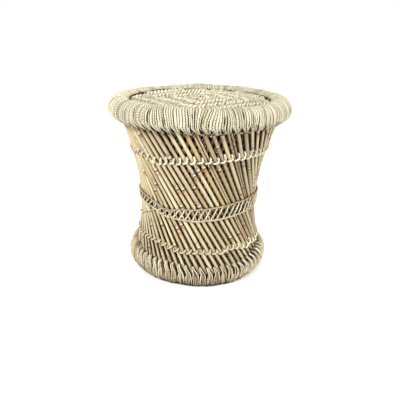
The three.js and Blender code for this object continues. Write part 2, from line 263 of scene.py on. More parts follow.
# Shader maths
class Wire:
    """A socket of a node tree, with the arithmetic that adds Math nodes."""

    def __init__(self, finish, socket):
        self.finish = finish
        self.socket = socket

    def maths(self, operation, *values):
        return self.finish.node("ShaderNodeMath", dict(enumerate(values)), operation=operation)

    def __add__(self, other):
        return self.maths("ADD", self, other)

    def __radd__(self, other):
        return self.maths("ADD", other, self)

    def __rsub__(self, other):
        return self.maths("SUBTRACT", other, self)

    def __mul__(self, other):
        return self.maths("MULTIPLY", self, other)

    def __truediv__(self, other):
        return self.maths("DIVIDE", self, other)

    def wave(self):
        """From 0 to 1 and back once for each whole number."""
        return self.maths("MULTIPLY_ADD", self.maths("COSINE", self * FULL), -0.5, 0.5)

    def step(self, low, high):
        """0 below low, 1 above high, smooth between them, or the other way round."""
        inputs = {"Value": self, "From Min": low, "From Max": high}
        settings = {"interpolation_type": "SMOOTHSTEP"}
        return self.finish.node("ShaderNodeMapRange", inputs, **settings)


class Finish:
    """The nodes of a material, or of the world, under construction."""

    def __init__(self, owner):
        self.owner = owner
        owner.use_nodes = True
        self.tree = owner.node_tree
        self.tree.nodes.clear()

    def node(self, kind, inputs, output=0, **settings):
        """Adds a node: its settings first, then the values or links of its sockets."""
        made = self.tree.nodes.new(kind)
        for key, value in settings.items():
            setattr(made, key, value)
        for key, value in inputs.items():
            if isinstance(value, Wire):
                self.tree.links.new(value.socket, made.inputs[key])
            else:
                made.inputs[key].default_value = value
        return Wire(self, made.outputs[output]) if len(made.outputs) else None

    def mark(self, name, output="Fac"):
        return self.node("ShaderNodeAttribute", {}, output, attribute_name=name)

    def parts(self, vector):
        split = self.node("ShaderNodeSeparateXYZ", {0: vector})
        return [Wire(self, socket) for socket in split.socket.node.outputs]

    def noise(self, vector, scale, detail=2.0, roughness=0.5):
        """Noise with its own scale along each axis."""
        spot = self.node("ShaderNodeVectorMath", {0: vector, 1: scale}, operation="MULTIPLY")
        inputs = {"Vector": spot, "Scale": 1.0, "Detail": detail, "Roughness": roughness}
        return self.node("ShaderNodeTexNoise", inputs)

    def layers(self, first, *others):
        """A colour and others laid over it, each by its share."""
        color = tint(first)
        for share, other in others:
            inputs = {0: share, 6: color, 7: tint(other)}
            color = self.node("ShaderNodeMix", inputs, 2, data_type="RGBA")
        return color

    def surface(self, color, roughness, height, distance, strength=1.0, **constants):
        bump = {"Height": height, "Distance": distance, "Strength": strength}
        inputs = {key.replace("_", " "): value for key, value in constants.items()}
        inputs.update({"Base Color": color, "Roughness": roughness})
        inputs["Normal"] = self.node("ShaderNodeBump", bump)
        shader = self.node("ShaderNodeBsdfPrincipled", inputs)
        self.node("ShaderNodeOutputMaterial", {"Surface": shader})
        return self.owner


def tint(shown):
    """A colour as a picture shows it, 0 to 255, in linear light."""
    shares = np.array(shown) / 255
    linear = np.where(shares <= 0.04045, shares / 12.92, ((shares + 0.055) / 1.055) ** 2.4)
    return (*linear.tolist(), 1.0)


def reed_finish():
    """Dried reed: streaks along the stem, blotches, painted shade at the sides and the back,
    and at each joint a dark scar with a pale waxy ring above it."""
    f = Finish(bpy.data.materials.new("dried_reed"))
    stem = f.mark("stem", "Vector")
    streaks = f.noise(stem, (1.9, 1.9, 0.035), 3.0)
    fine = f.noise(stem, (5.0, 5.0, 0.12))
    blotches = f.noise(stem, (0.12, 0.12, 0.03), 3.0, 0.6)
    stain = f.noise(stem, (0.25, 0.25, 0.16)).step(0.42, 0.58)
    shade, flank_shade, from_joint = (f.mark(name) for name in ("shade", "flank_shade", "from_joint"))
    below = from_joint.step(-22.0, -4.0) * from_joint.step(0.5, 0.0)
    ring = from_joint.step(1.0, 1.8) * from_joint.step(7.0, 3.0)
    above = from_joint.step(3.0, 6.0) * from_joint.step(24.0, 12.0)
    scar = from_joint.step(-2.6, -1.2) * from_joint.step(1.8, 0.6)
    color = f.layers(
        (212, 205, 167),
        (f.mark("warmth"), (187, 167, 116)),
        (f.mark("grey"), (172, 162, 142)),
        (blotches.step(0.5, 0.72) * 0.5, (198, 175, 132)),
        (streaks.step(0.42, 0.72) * 0.75, (148, 120, 78)),
        (fine.step(0.52, 0.8) * 0.45, (244, 236, 206)),
        # Own tone; the inner reeds' higher values, the only ones past 0.5, are painted shade
        (shade, (112, 84, 52)),
        (shade.step(0.5, 1.0) * 0.75, (52, 38, 22)),
        (below * stain * 0.85, (150, 92, 58)),
        (ring * (0.5 - stain * 0.3), (240, 232, 214)),
        (above * stain * 0.75, (112, 102, 90)),
        (scar * 0.95, (74, 40, 26)),
        # Painted shade on the stems' sides and backs, and beside the cords
        (flank_shade.step(0.1, 0.28) * 0.6, (146, 108, 54)),
        (flank_shade.step(0.18, 0.46) * 0.97, (32, 20, 6)),
    )
    height = streaks * 0.5 + fine * 0.3
    return f.surface(color, 0.4 + streaks * 0.2, height, 0.0004, 0.8, Coat_Weight=0.1,
                     Coat_Roughness=0.35)


def winding_finish(name, pale, dark, painted_highlight):
    """Rope wound close: two plies show as slanted strokes on each turn. The mark turn holds
    the way along the rope, the way across it and the turn's own number."""
    f = Finish(bpy.data.materials.new(name))
    turn = f.mark("turn", "Vector")
    along, across, number = f.parts(turn)
    fibres = f.noise(turn, (0.4, 1.6, 7.0), 3.0, 0.65)
    plies = (along / 5.2 + across * 0.42 + number + fibres * 1.1).wave()
    patches = f.noise(turn, (0.035, 0.05, 0.9))
    # Painted shade between the plies' strokes
    ply_shade = (1 - plies).step(0.3, 0.95) * fibres.step(0.66, 0.4)
    groove = f.mark("groove")
    color = f.layers(
        pale,
        (f.mark("tone"), dark),
        (patches.step(0.5, 0.75) * 0.5, (168, 146, 106)),
        # Painted highlight on the plies' crests, then painted shade between them
        ((fibres * plies).step(0.2, 0.5) * 0.55, painted_highlight),
        (ply_shade * 0.6, (124, 104, 66)),
        # Painted shade between turns, in notches and partings, at the base's foot and by the
        # seat
        (groove.step(0.1, 0.5) * 0.35, (140, 108, 56)),
        (groove.step(0.3, 0.8) * 0.95, (32, 21, 8)),
    )
    height = plies * 0.6 + fibres * 0.6
    return f.surface(color, 0.8, height, 0.0012, 1.0, Specular_IOR_Level=0.3)


def cord_finish(name, pale, dark, deep):
    """Twisted cord whose plies are in the mesh: fibres run along the plies, and the grooves
    between them are darker with painted shade. The mark fibre turns with the twist."""
    f = Finish(bpy.data.materials.new(name))
    fibre = f.mark("fibre", "Vector")
    strands = f.noise(fibre, (2.4, 2.4, 0.12), 3.0, 0.6)
    color = f.layers(
        pale,
        (f.mark("tone"), dark),
        (f.noise(fibre, (0.1, 0.1, 0.06)).step(0.42, 0.7) * 0.6, dark),
        (strands.step(0.4, 0.7) * 0.6, (255, 251, 232)),
        # Painted shade in the grooves between the plies
        (f.mark("groove").step(0.35, 0.95) * 0.85, deep),
    )
    return f.surface(color, 0.75, strands, 0.0005, 0.9, Specular_IOR_Level=0.3)


def seat_finish():
    """The seat's twisted rope: softer grooves than a cord's in painted shade, and dark specks.
    """
    f = Finish(bpy.data.materials.new("seat_rope"))
    fibre = f.mark("fibre", "Vector")
    strands = f.noise(fibre, (1.6, 1.6, 0.2), 3.0, 0.6)
    patches = f.noise(fibre, (0.1, 0.1, 0.05))
    specks = f.noise(fibre, (0.35, 0.35, 0.35), 2.0, 0.7)
    # Painted shade in the grooves between the plies
    groove = f.mark("groove").step(0.3, 0.95) * (0.5 + patches.step(0.4, 0.6) * 0.45)
    color = f.layers(
        (240, 233, 204),
        (f.mark("tone"), (120, 102, 66)),
        (patches.step(0.45, 0.7) * 0.5, (184, 168, 126)),
        # Pale fibres, partly a painted highlight
        (strands.step(0.45, 0.65) * 0.7, (250, 246, 226)),
        (groove, (76, 60, 36)),
        (specks.step(0.53, 0.61) * 0.85, (88, 70, 42)),
    )
    return f.surface(color, 0.8, strands, 0.0007, 1.0, Specular_IOR_Level=0.3)


def grass_finish():
    """Dry stems inside the rings, dark because little light gets there."""
    f = Finish(bpy.data.materials.new("dry_grass"))
    spot = f.node("ShaderNodeTexCoord", {}, "Object")
    stems = f.noise(spot, (220.0, 220.0, 60.0), 3.0, 0.6)
    color = f.layers((70, 56, 34), (stems.step(0.35, 0.65), (150, 130, 88)))
    return f.surface(color, 0.9, stems, 0.001)


REED_FINISH = reed_finish()
RIM_FINISH = winding_finish("rim_rope", (235, 229, 199), (172, 160, 122), (255, 252, 232))
BASE_FINISH = winding_finish("base_rope", (255, 238, 196), (140, 114, 72), (255, 248, 218))
CORD_FINISH = cord_finish("lashing_cord", (250, 244, 218), (206, 188, 142), (84, 64, 34))
BAND_FINISH = cord_finish("band_cord", (246, 236, 200), (154, 126, 76), (44, 30, 12))
GRASS_FINISH = grass_finish()
# Kinds of cord: their finish and slot name
WOUND = CORD_FINISH, "winding_rope"
TIED = CORD_FINISH, "lashing_cord"
LACED = BAND_FINISH, "lashing_cord"
WOVEN = seat_finish(), "seat_rope"


def dress(piece, finish, slot, node):
    """Gives a piece its finish and its body, and hides the CAD node it stands for. The slot is
    not used.
    """
    piece.data.materials.append(finish)
    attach(piece, "root")
    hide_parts(node)


# How far each lashing strays from its level, as turns in degrees and millimetres
UPPER_STRAY = (
    (-170, 0), (-75, -4), (-40, -5), (-29, 0), (-17, -5), (-10, -10), (-5, -8), (0, -4.5),
    (11, -2), (16, 1), (28, 2.5), (40, 1.5), (48, 5.5), (65, 6), (100, 3),
)
BAND_TOP_STRAY = (
    (-170, 0), (-80, 6), (-70, 9), (-62, 8), (-49, 4.5), (-40, 0), (-34, -8), (-28, -9),
    (-20, -6), (-10, -2), (0, -1), (20, 3), (40, 7), (60, 8), (85, 6),
)
BAND_BOTTOM_STRAY = (
    (-170, 0), (-80, 10), (-70, 13), (-62, 12), (-50, 9.5), (-42, 7), (-37, 2), (-28, -3),
    (-10, -4.5), (0, -5), (20, -2), (40, 1), (55, 4), (85, 5),
)
LOWER_STRAY = (
    (-170, 0), (-85, 6), (-60, 9), (-47, 2.5), (-37, -3.5), (-19, -1.5), (-6, -3.5), (0, -5.5),
    (5, 0), (16, -0.5), (28, -9), (34, -4), (45, -9), (53, -5.5), (65, -5.5), (100, -2),
)
# Stitches by turn: how high they climb, how much they bow, as a power, how dark they are
UPPER_STITCHES = {
    "rise": ((-170, 8.5), (-75, 5), (-45, 6), (-25, 7.5), (0, 9), (60, 9.5), (100, 8.5)),
    "bow": ((-170, 2), (-60, 1), (-20, 1.1), (-5, 2), (40, 2.3), (100, 2)),
    "tone": ((-170, 0.4), (-75, 1), (-50, 0.8), (-32, 0.15), (60, 0.1), (100, 0.4)),
}
LOWER_STITCHES = {
    "rise": ((-170, 5), (-60, 4), (0, 5), (60, 5.5), (100, 5)),
    "bow": ((-170, 2), (-60, 1.2), (-20, 1.4), (10, 1.8), (100, 2)),
    "tone": ((-170, 0.4), (-60, 0.9), (-20, 0.8), (10, 0.5), (30, 0.1), (60, 0.1), (100, 0.4)),
}


def reed_turn(height):
    """How far round the stool an outer reed lies at a height, from its turn at the waist."""
    return np.arctan2(OUTER_DRIFT * (height - WAIST_HEIGHT), OUTER_WAIST)


def wall_radius(height):
    """How far from the axis the middles of the outer reeds lie at a height."""
    return np.hypot(OUTER_WAIST, OUTER_DRIFT * (height - WAIST_HEIGHT))


def at_turn(table, turn):
    """The value of a table at turns round the stool, straight between its entries."""
    turns, values = np.array(table).T
    return np.interp(np.degrees(turn), turns, values, period=360)


def band_levels(turn):
    """Heights of the waist band's lower and upper cord."""
    low = BAND_BOTTOM + at_turn(BAND_BOTTOM_STRAY, turn)
    return low, BAND_TOP + at_turn(BAND_TOP_STRAY, turn)


def smooth(values, low, high):
    """0 at low, 1 at high and smooth between them; low may be the larger one."""
    share = np.clip((values - low) / (high - low), 0, 1)
    return share * share * (3 - 2 * share)


# Reeds
REED_SIDES = 14
EVEN_ROWS = np.linspace(0, 1, 64)
JOINT_ROWS = np.array([-7.0, -3.5, -1.8, -0.9, -0.3, 0.3, 0.9, 1.8, 3.5])
JOINTS = 3
# Shares of the diameter: what chance gives, and how much a stem tapers and is oval
REED_SPREAD = (0.9, 1.08)
INNER_SPREAD = (1.04, 1.2)
TAPER = 0.06
OVAL = 0.05
BEND = 0.45
# A joint's ridge, swelling and groove, as height, place along the stem and reach
JOINT_FORMS = ((0.34, 0.0, 0.8), (0.26, -3.0, 2.6), (-0.2, 1.5, 0.7))
FIRST_JOINT = (8, 120)
JOINT_GAPS = (110, 150)
# Painted shade: the least shade of an inner reed, for the dark inside the wall
INNER_PAINTED_SHADE = 0.55

# Heights of joints that show, by the reed's place from the front, below 0 to the left. A
# second one that isn't given is a gap higher.
SEEN_GAP = 152
LAST_JOINT = 352.0
SEEN_JOINTS = {
    -8: [131], -7: [91], -6: [208], -5: [131, 224], -4: [140], -3: [91, 259], -2: [184],
    -1: [224], 0: [225], 2: [230], 3: [106], 5: [111, 277], 6: [279], 7: [126, 270],
    8: [323], 9: [206], 12: [263],
}
# The looks of reeds that stand out, by the same places
LOOKS = ("shade", "warmth", "grey")
SEEN_LOOKS = {
    -7: (0, 0, 0), -3: (0, 0.05, 0), -1: (0.15, 0.3, 0.1), 0: (0.05, 0.55, 0),
    1: (0.1, 0.25, 0.7), 2: (0.3, 0.75, 0.1), 4: (0, 0.3, 0), 5: (0.1, 0.95, 0),
    6: (0.25, 0.6, 0.2), 7: (0.4, 0.8, 0.2), 8: (0.35, 0.4, 0.6), 10: (0.5, 0.7, 0.3),
    11: (0.1, 0.1, 0.7), 12: (0.3, 0.4, 0.6),
}
# Reeds of two thin stems: sizes and half distance in diameters, and the joints' shift
PAIRED_REEDS = (6, 10, 29, 47)
PAIR_SIZES = (0.52, 0.47)
PAIR_HALF = 0.27
PAIR_SHIFT = 7
# Painted shadow within the band and beside the stitches, and millimetres over which it fades
BAND_PAINTED_SHADOW, BAND_FADE = 0.27, 4
STITCH_PAINTED_SHADOW, STITCH_FADE = 0.13, 7


def reed_stems(turns, waist, drift, diameters, joints, rng):
    """Straight stems, as many as there are turns. The middle of a stem is at
    (drift (z - waist height), -waist, z), turned round the stool, and bends a little at its
    joints. Returns points and marks, among them painted shade on the stem's sides: 0 on the
    side that stays unshaded and 1 on the other."""
    count = len(turns)
    length = (REED_HEAD - REED_FOOT) * np.hypot(1, drift)
    even = np.broadcast_to(EVEN_ROWS * length, (count, len(EVEN_ROWS)))
    near = (joints[:, :, None] + JOINT_ROWS).reshape(count, -1)
    rows = np.sort(np.clip(np.concatenate([even, near], axis=1), 0, length), axis=1)
    rows += np.arange(rows.shape[1]) * 1e-3
    gap = rows[:, :, None] - joints[:, None, :]
    nearest = np.argmin(np.abs(gap), axis=2)[..., None]
    from_joint = np.take_along_axis(gap, nearest, axis=2)[..., 0]
    size = diameters[:, None] / 2 * (1 + TAPER * (rows / length - 0.5))
    for rise, place, width in JOINT_FORMS:
        size = size + rise * np.exp(-(((from_joint - place) / width) ** 2))
    bends = rng.uniform(-BEND, BEND, (count, joints.shape[1] + 2, 2))
    bends[:, [0, -1]] = 0
    knots = np.concatenate([np.zeros((count, 1)), joints, np.full((count, 1), length)], axis=1)
    offsets = np.stack([
        [np.interp(rows[i], knots[i], bends[i, :, k]) for i in range(count)] for k in range(2)
    ])
    along = unit(np.array([drift, 0.0, 1.0]))
    across = unit(np.array([1.0, 0.0, -drift]))
    out = np.array([0.0, -1.0, 0.0])
    start = np.array([drift * (REED_FOOT - WAIST_HEIGHT), -waist, REED_FOOT])
    middle = start + rows[..., None] * along
    middle = middle + offsets[0][..., None] * across + offsets[1][..., None] * out
    angle = circle(REED_SIDES)
    flat = 1 - OVAL * np.cos(2 * (angle - rng.uniform(0, FULL, (count, 1))))
    reach = size[..., None] * flat[:, None, :]
    ring = np.cos(angle)[:, None] * across + np.sin(angle)[:, None] * out
    points = middle[:, :, None] + reach[..., None] * ring
    cos, sin = np.cos(turns)[:, None, None], np.sin(turns)[:, None, None]
    x, y, z = np.moveaxis(points, -1, 0)
    turned = stacked(x * cos - y * sin, x * sin + y * cos, z)
    offset = rng.uniform(0, 900, (count, 1, 1))
    stem = stacked(reach * np.cos(angle), reach * np.sin(angle), rows[..., None] + offset)
    # Painted shade round each stem, none on a side that shifts with the turn
    unshaded_side = 0.3 + 0.35 * sin
    flank_shade = (1 - np.sin(angle - unshaded_side)) / 2
    return turned, {"stem": stem, "from_joint": from_joint[..., None], "flank_shade": flank_shade}


def painted_cord_shadow(points):
    """Painted shadow of the band and stitches: how much further a reed's side shade reaches."""
    turn = np.arctan2(points[..., 0], -points[..., 1])
    height = points[..., 2]
    low, high = band_levels(turn)
    inside = smooth(height, low - BAND_FADE, low) * smooth(height, high + BAND_FADE, high)
    amount = BAND_PAINTED_SHADOW * inside
    for level, strayed in ((UPPER_LASHING, UPPER_STRAY), (LOWER_LASHING, LOWER_STRAY)):
        off = height - level - at_turn(strayed, turn)
        amount = amount + STITCH_PAINTED_SHADOW * np.exp(-((off / STITCH_FADE) ** 2))
    return amount


def spread_joints(rng, count):
    """Joints one above the other. One that falls past the stem's head leaves no mark."""
    first = rng.uniform(*FIRST_JOINT, (count, 1))
    gaps = rng.uniform(*JOINT_GAPS, (count, JOINTS))
    return first + np.cumsum(gaps, axis=1) - JOINT_GAPS[0]


def drawn_look(rng):
    """Shade, warmth and greyness of a reed that doesn't stand out."""
    shade = rng.uniform(0, 0.35) ** 1.5
    return shade, rng.uniform(0, 0.8), max(0.0, rng.uniform(-0.5, 0.55))


def make_outer_reeds():
    """One piece for each reed of the outer layer. A reed that the CAD joins to the bundle of
    the base has no node of its own."""
    rng = np.random.default_rng(11)
    longer = np.hypot(1, OUTER_DRIFT)
    for i in range(REEDS):
        name = f"outer_reed_{i + 1:02d}"
        turns = np.array([FIRST_REED + i * PITCH])
        sizes = np.array([rng.uniform(*REED_SPREAD) * REED_DIAMETER])
        joints = spread_joints(rng, 1)
        place = i if i <= REEDS // 2 else i - REEDS
        if place in SEEN_JOINTS:
            seen = SEEN_JOINTS[place]
            second = seen[1] if len(seen) > 1 else seen[0] + SEEN_GAP
            joints = (np.array([[seen[0], second, LAST_JOINT]]) - REED_FOOT) * longer
        if i in PAIRED_REEDS:
            half = PAIR_HALF * REED_DIAMETER * longer / OUTER_WAIST
            turns = turns + np.array([-half, half])
            sizes = np.array(PAIR_SIZES) * REED_DIAMETER
            joints = np.concatenate([joints, joints + PAIR_SHIFT])
        points, marks = reed_stems(turns, OUTER_WAIST, OUTER_DRIFT, sizes, joints, rng)
        look = drawn_look(rng)
        for mark, value in zip(LOOKS, SEEN_LOOKS.get(place, look)):
            marks[mark] = np.full((1, 1, 1), value)
        # Painted shadow of the band and the stitches on the reeds
        marks["flank_shade"] = marks["flank_shade"] + painted_cord_shadow(points)
        piece = strips("reed_" + name[-2:], points, marks)
        dress(piece, REED_FINISH, "reed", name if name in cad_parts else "base_bundle")


def make_inner_reeds():
    """The inner layer as one piece, each reed behind a gap of the outer one."""
    rng = np.random.default_rng(12)
    turns = FIRST_REED + (np.arange(REEDS) + 0.5) * PITCH
    sizes = REED_DIAMETER * rng.uniform(*INNER_SPREAD, REEDS)
    joints = spread_joints(rng, REEDS)
    points, marks = reed_stems(turns, INNER_WAIST, INNER_DRIFT, sizes, joints, rng)
    drawn = np.array([drawn_look(rng) for _ in range(REEDS)])
    # The inner reeds are painted darker, as shade inside the wall
    drawn[:, 0] = INNER_PAINTED_SHADE + (1 - INNER_PAINTED_SHADE) * drawn[:, 0]
    for k, mark in enumerate(LOOKS):
        marks[mark] = drawn[:, k, None, None]
    dress(strips("inner_reeds", points, marks), REED_FINISH, "reed", "base_bundle")


make_outer_reeds()
make_inner_reeds()


# Windings: turns between two reeds, columns of a turn, rows of the section
TURNS_PER_GAP = 4
TURN_COLUMNS = 8
WINDING_ROWS = 40
# What chance gives a turn of the even width, and of the relief
TURN_WIDTHS = (0.7, 1.35)
TURN_HEIGHTS = (0.7, 1.25)
# Slow and quick unevenness, as wave counts and millimetres
SLOW_LUMPS = (2, 3, 5, 9, 14), 0.6
QUICK_LUMPS = (21, 34, 47, 55, 70), 0.5
# Notches: reach behind the reeds' middles and least depth, where and over how much of a
# group its edges dive, and the way past them until all of it has
NOTCH_BEHIND, LEAST_NOTCH = 1.0, 3.0
EDGE_FROM, EDGE_RUN = 0.38, 0.16
PAST_NOTCH = 7
# Painted shade darkens the base's foot from the first height down to the second.
FOOT_SHADE_FROM, FOOT_SHADE_FULL = 13, 2
# Where the rim's rope has parted most: turn, lower and upper angle of the section, degrees
RIM_PARTINGS = (
    (-39.4, -5, 55), (-29, -60, 60), (-21.4, -75, 25), (-5.8, -90, 0), (-4.8, 15, 50),
    (1.2, -90, 35), (12.6, -10, 35), (23.9, 10, 60), (21.8, -85, -15), (33.7, -60, 30),
    (71, -70, 30), (118, -60, 50), (163, -80, 10), (204, -50, 60), (251, -80, 30),
    (290, -60, 50),
)
# Partings: reach beside the line between two turns, width of the given ones, depth in
# reliefs, and in degrees their closing ends and what chance draws
PARTING_REACH = 1.1
WIDEST_PARTING = 1.3
PARTING_DEPTH = 1.3
PARTING_END = 18
PARTING_MIDDLES, PARTING_HALVES = (-80, 60), (15, 60)
# The dark corner between rim and seat: heights where it starts and ends, its most, by turn
CORNER_TOP, CORNER_FOOT = (392.5, 388.5), (379, 382)
CORNER_MOST = 1.4
CORNER_SHADE = (
    (-180, 0.3), (-152, 0.4), (-142, 0.9), (-100, 1.0), (-88, 0.4), (0, 0.1), (88, 0.4),
    (98, 1.0), (126, 1.0), (140, 0.4),
)


def by_column(values):
    return np.repeat(values, TURN_COLUMNS, axis=-1)


def ring_lean(ring, level):
    """How far round the winding is: on the reeds' side of the slant height it leans too."""
    limit = np.maximum if ring.mouth > 0 else np.minimum
    return FIRST_REED + reed_turn(limit(level, ring.slant))


def part_turns(ring, rng, places, starts, angle):
    """How far each turn, by its start in degrees, has parted from the one before it, at each
    angle of the section: by chance, and most at the given places."""
    parting = ring.parted * rng.uniform(0, 1, len(starts)) ** 2
    middles = rng.uniform(*PARTING_MIDDLES, len(starts))
    halves = rng.uniform(*PARTING_HALVES, len(starts))
    lows, highs = middles - halves, middles + halves
    for place, low, high in places:
        k = np.argmin(np.abs((starts - place + 180) % 360 - 180))
        parting[k], lows[k], highs[k] = WIDEST_PARTING, low, high
    spot = np.degrees(angle)
    parting = parting * smooth(spot, lows, lows + PARTING_END)
    return parting * smooth(spot, highs, highs - PARTING_END)


def corner_shade(rng, angle, level, turn, height):
    """Dark on the rim where it meets the seat, uneven from turn to turn of the rope."""
    each = by_column(rng.uniform(0.2, 1.3, REEDS * TURNS_PER_GAP))
    shaded = at_turn(CORNER_SHADE, turn) * each
    corner = smooth(height, *CORNER_TOP) * smooth(np.cos(angle), -0.3, -0.5)
    return CORNER_MOST * shaded * corner * smooth(level, *CORNER_FOOT)


def ring_winding(name, finish, node, ring, rng, partings=()):
    """Rope wound round a ring, as one surface that closes both ways. The section is an
    ellipse, radius + half_width cos(a), middle + half_height sin(a). Across each turn the
    surface rises by the relief times the root of a half sine, and dips where two turns have
    parted. Towards the reeds the turns of a group gather between two of them, and its edges
    dive behind the reeds' face, which opens a notch over each reed. Arrays have a row for
    each angle of the section and a column for each step round the ring."""
    turns = REEDS * TURNS_PER_GAP
    widths = rng.uniform(*TURN_WIDTHS, (REEDS, TURNS_PER_GAP))
    widths /= widths.sum(axis=1, keepdims=True)
    edges = np.concatenate([np.zeros((REEDS, 1)), np.cumsum(widths, axis=1)], axis=1)
    phase = np.arange(TURN_COLUMNS) / TURN_COLUMNS
    share = (edges[:, :-1, None] + widths[:, :, None] * phase).reshape(-1)
    group = np.repeat(np.arange(REEDS), TURNS_PER_GAP * TURN_COLUMNS)
    local = share - 0.5
    even = (group + share) * PITCH
    bulge = np.tile(np.sqrt(np.sin(np.pi * phase)), turns)
    heights = by_column(rng.uniform(*TURN_HEIGHTS, turns))

    # The rows of the section start on the side towards the axis.
    angle = np.linspace(-FULL / 2, FULL / 2, WINDING_ROWS, endpoint=False)[:, None]
    level = ring.middle + ring.half_height * np.sin(angle)
    raised = at_turn(ring.raised, even)
    opened = at_turn(ring.opened, even)
    notch = smooth(level - raised, ring.notch_from, ring.notch_full)
    narrowing = 1 - (1 - ring.gathered) * notch * (0.6 + 0.4 * opened)
    turn = ring_lean(ring, level) + (group + 0.5 + local * narrowing) * PITCH
    turn = turn + ripple(rng, even, (3, 5, 8, 13, 17), ring.wobble) * np.sin(angle)
    turn = turn + ripple(rng, even, (2, 7, 11, 19), ring.wobble) * np.cos(2 * angle)

    # Partings spread over the turns on both of their sides.
    starts = np.degrees(ring_lean(ring, ring.slant) + even)[::TURN_COLUMNS]
    before = part_turns(ring, rng, partings, starts, angle)
    after = np.roll(before, -1, axis=1)
    span = widths.reshape(-1, 1) * PITCH * ring.radius
    from_start = np.exp(-((phase * span / PARTING_REACH) ** 2)).ravel()
    from_end = np.exp(-(((1 - phase) * span / PARTING_REACH) ** 2)).ravel()
    parted = by_column(before) * from_start + by_column(after) * from_end

    # The surface, and the notches cut into it
    lift = ring.relief * (heights * bulge * np.sqrt(narrowing) - PARTING_DEPTH * parted)
    uneven = ripple(rng, even, *SLOW_LUMPS) * np.cos(angle - 0.7)
    uneven = uneven + ripple(rng, even, *QUICK_LUMPS) * np.cos(angle)
    tucked = 1 - at_turn(ring.tuck, even) * np.clip(-np.sin(angle), 0, 1) ** 2
    plain = ring.radius + (ring.half_width * tucked + lift + uneven) * np.cos(angle)
    height = ring.middle + (ring.half_height + lift + uneven) * np.sin(angle)
    height = height + at_turn(ring.stray, turn)
    deep = np.clip(plain - wall_radius(level) + NOTCH_BEHIND, LEAST_NOTCH, ring.notch_depth)
    beside = np.clip((np.abs(local) - EDGE_FROM + 0.1 * opened) / EDGE_RUN, 0, 1) ** 1.3
    full = ring.notch_full
    past = smooth(level - raised, full, full + PAST_NOTCH * ring.mouth)
    dive = np.maximum(notch * beside, past * opened)
    points = round_axis(plain - deep * dive, turn, np.maximum(height, 0))

    step = np.linalg.norm(np.roll(points, -1, axis=0) - points, axis=-1)
    along = np.cumsum(step, axis=0) - step
    number = by_column(rng.uniform(0, 60, turns))
    tones = by_column(rng.uniform(0, 1, turns) ** 1.3)
    foot_shade_from = FOOT_SHADE_FROM + ripple(rng, even, (15, 26, 43, 61), 3.0)
    # Painted shade for the groove mark: between turns, in notches and partings, at foot and
    # seat
    shade = (1 - bulge) ** ring.line + (0.4 + 0.9 * opened) * dive + parted
    shade = shade + smooth(height, foot_shade_from, FOOT_SHADE_FULL)
    shade = shade + corner_shade(rng, angle, level, turn, height)
    marks = {
        "turn": stacked(along, np.tile(phase - 0.5, turns) * 3.0, number),
        # Painted shade and light by turn join the tone
        "tone": np.clip(tones + at_turn(ring.painted_shading, turn), 0, 1),
        "groove": np.clip(shade, 0, 1),
    }
    swapped = {mark: np.swapaxes(value, 0, 1)[None] for mark, value in marks.items()}
    piece = strips(name, np.swapaxes(points, 0, 1)[None], swapped, closed=True)
    dress(piece, finish, "winding_rope", node)


WINDING_CHANCE = np.random.default_rng(21)
ring_winding("rim_rope", RIM_FINISH, "rim_winding", RIM, WINDING_CHANCE, RIM_PARTINGS)
ring_winding("base_rope", BASE_FINISH, "base_winding", BASE, WINDING_CHANCE)


# A fan's strand: how far it stands out, how deep it starts and ends and between which shares
# of its way it is out, and its places in the gap
FAN_STEPS = 18
FAN_OUT = 1.2
FAN_START, FAN_OUT_BY = 2.5, 0.25
FAN_END, FAN_DIVES_FROM = 7.0, 0.86
FAN_FOOT, FAN_TIP = (0.2, 0.42), 0.07


def make_fans(name, ring, start, end, longest, thinnest, thickest, node):
    """Two pale strands over each gap. From the angle start of the section, or up to longest
    further back, a strand follows the notch's edge to the angle end and dives in there."""
    rng = np.random.default_rng(24)
    phase = np.linspace(0, 1, FAN_STEPS)
    first = (start + longest * rng.uniform(0, 1, (REEDS * 2, 1)) ** 2) * DEG
    group = np.repeat(np.arange(REEDS), 2)[:, None]
    last = end * DEG + at_turn(ring.raised, group * PITCH) / ring.half_height
    angle = first + (last - first) * phase
    level = ring.middle + ring.half_height * np.sin(angle)
    side = np.tile([-1.0, 1.0], REEDS)[:, None]
    foot = rng.uniform(*FAN_FOOT, (REEDS * 2, 1))
    spread = side * (foot * (1 - phase**1.4) + FAN_TIP * phase)
    turn = ring_lean(ring, level) + (group + 0.5 + spread) * PITCH
    radius = ring.radius + (ring.half_width + FAN_OUT) * np.cos(angle)
    radius = radius - FAN_START * smooth(phase, FAN_OUT_BY, 0)
    radius = radius - FAN_END * smooth(phase, FAN_DIVES_FROM, 1)
    thick = rng.uniform(thinnest, thickest, (REEDS * 2, 1))
    # The ring's painted shade and light, for the strands too
    painted_shading = at_turn(ring.painted_shading, group[:, 0] * PITCH)
    tone = np.clip(rng.uniform(0, 0.7, REEDS * 2) + painted_shading, 0, 1)
    path = round_axis(radius, turn, level)
    cords(name, WOUND, node, path, thick, rng, sides=7, tone=tone)


make_fans("base_fans", BASE, -6, 38, -50, 0.9, 1.5, "base_winding")
make_fans("rim_fans", RIM, -20, -80, 40, 0.7, 1.1, "rim_winding")


# Turns round the stool, in degrees, where the rim's rope crosses a reed in a small loop
EDGE_LOOPS = (-41.4, -33.8, -23.2, -5.6, 1.8, 10.9, 26.6, 32.7, 48.2, 95, 131, 170, 222, 265)
LOOP_ROPE = 3.0


